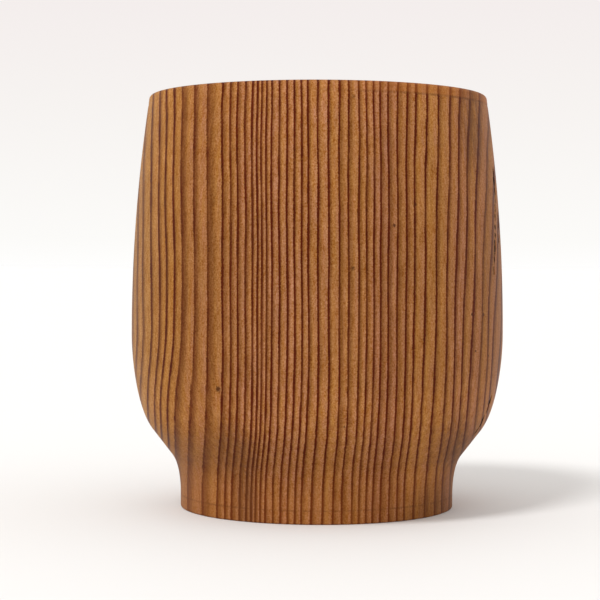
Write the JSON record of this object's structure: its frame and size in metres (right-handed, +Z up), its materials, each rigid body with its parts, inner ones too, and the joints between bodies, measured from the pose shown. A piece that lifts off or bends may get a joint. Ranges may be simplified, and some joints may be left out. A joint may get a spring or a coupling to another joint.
{
  "type": "wooden drinking cup",
  "caption": "Handleless round wooden cup with a barrel-shaped bowl, softly rounded lip and a low flared foot.",
  "frame": {"origin": "middle of the foot, on the surface that the cup stands on", "axes": "+Z up along the axis of turning; -Y towards the side seen in the picture; +X to that view's right"},
  "size_m": [0.08, 0.08, 0.0883],
  "materials": {
    "wood": "fine-sanded and oiled softwood, satin, with close straight growth rings"
  },
  "bodies": {
    "root": {"turned_cup": "wood"}
  },
  "joints": []
}
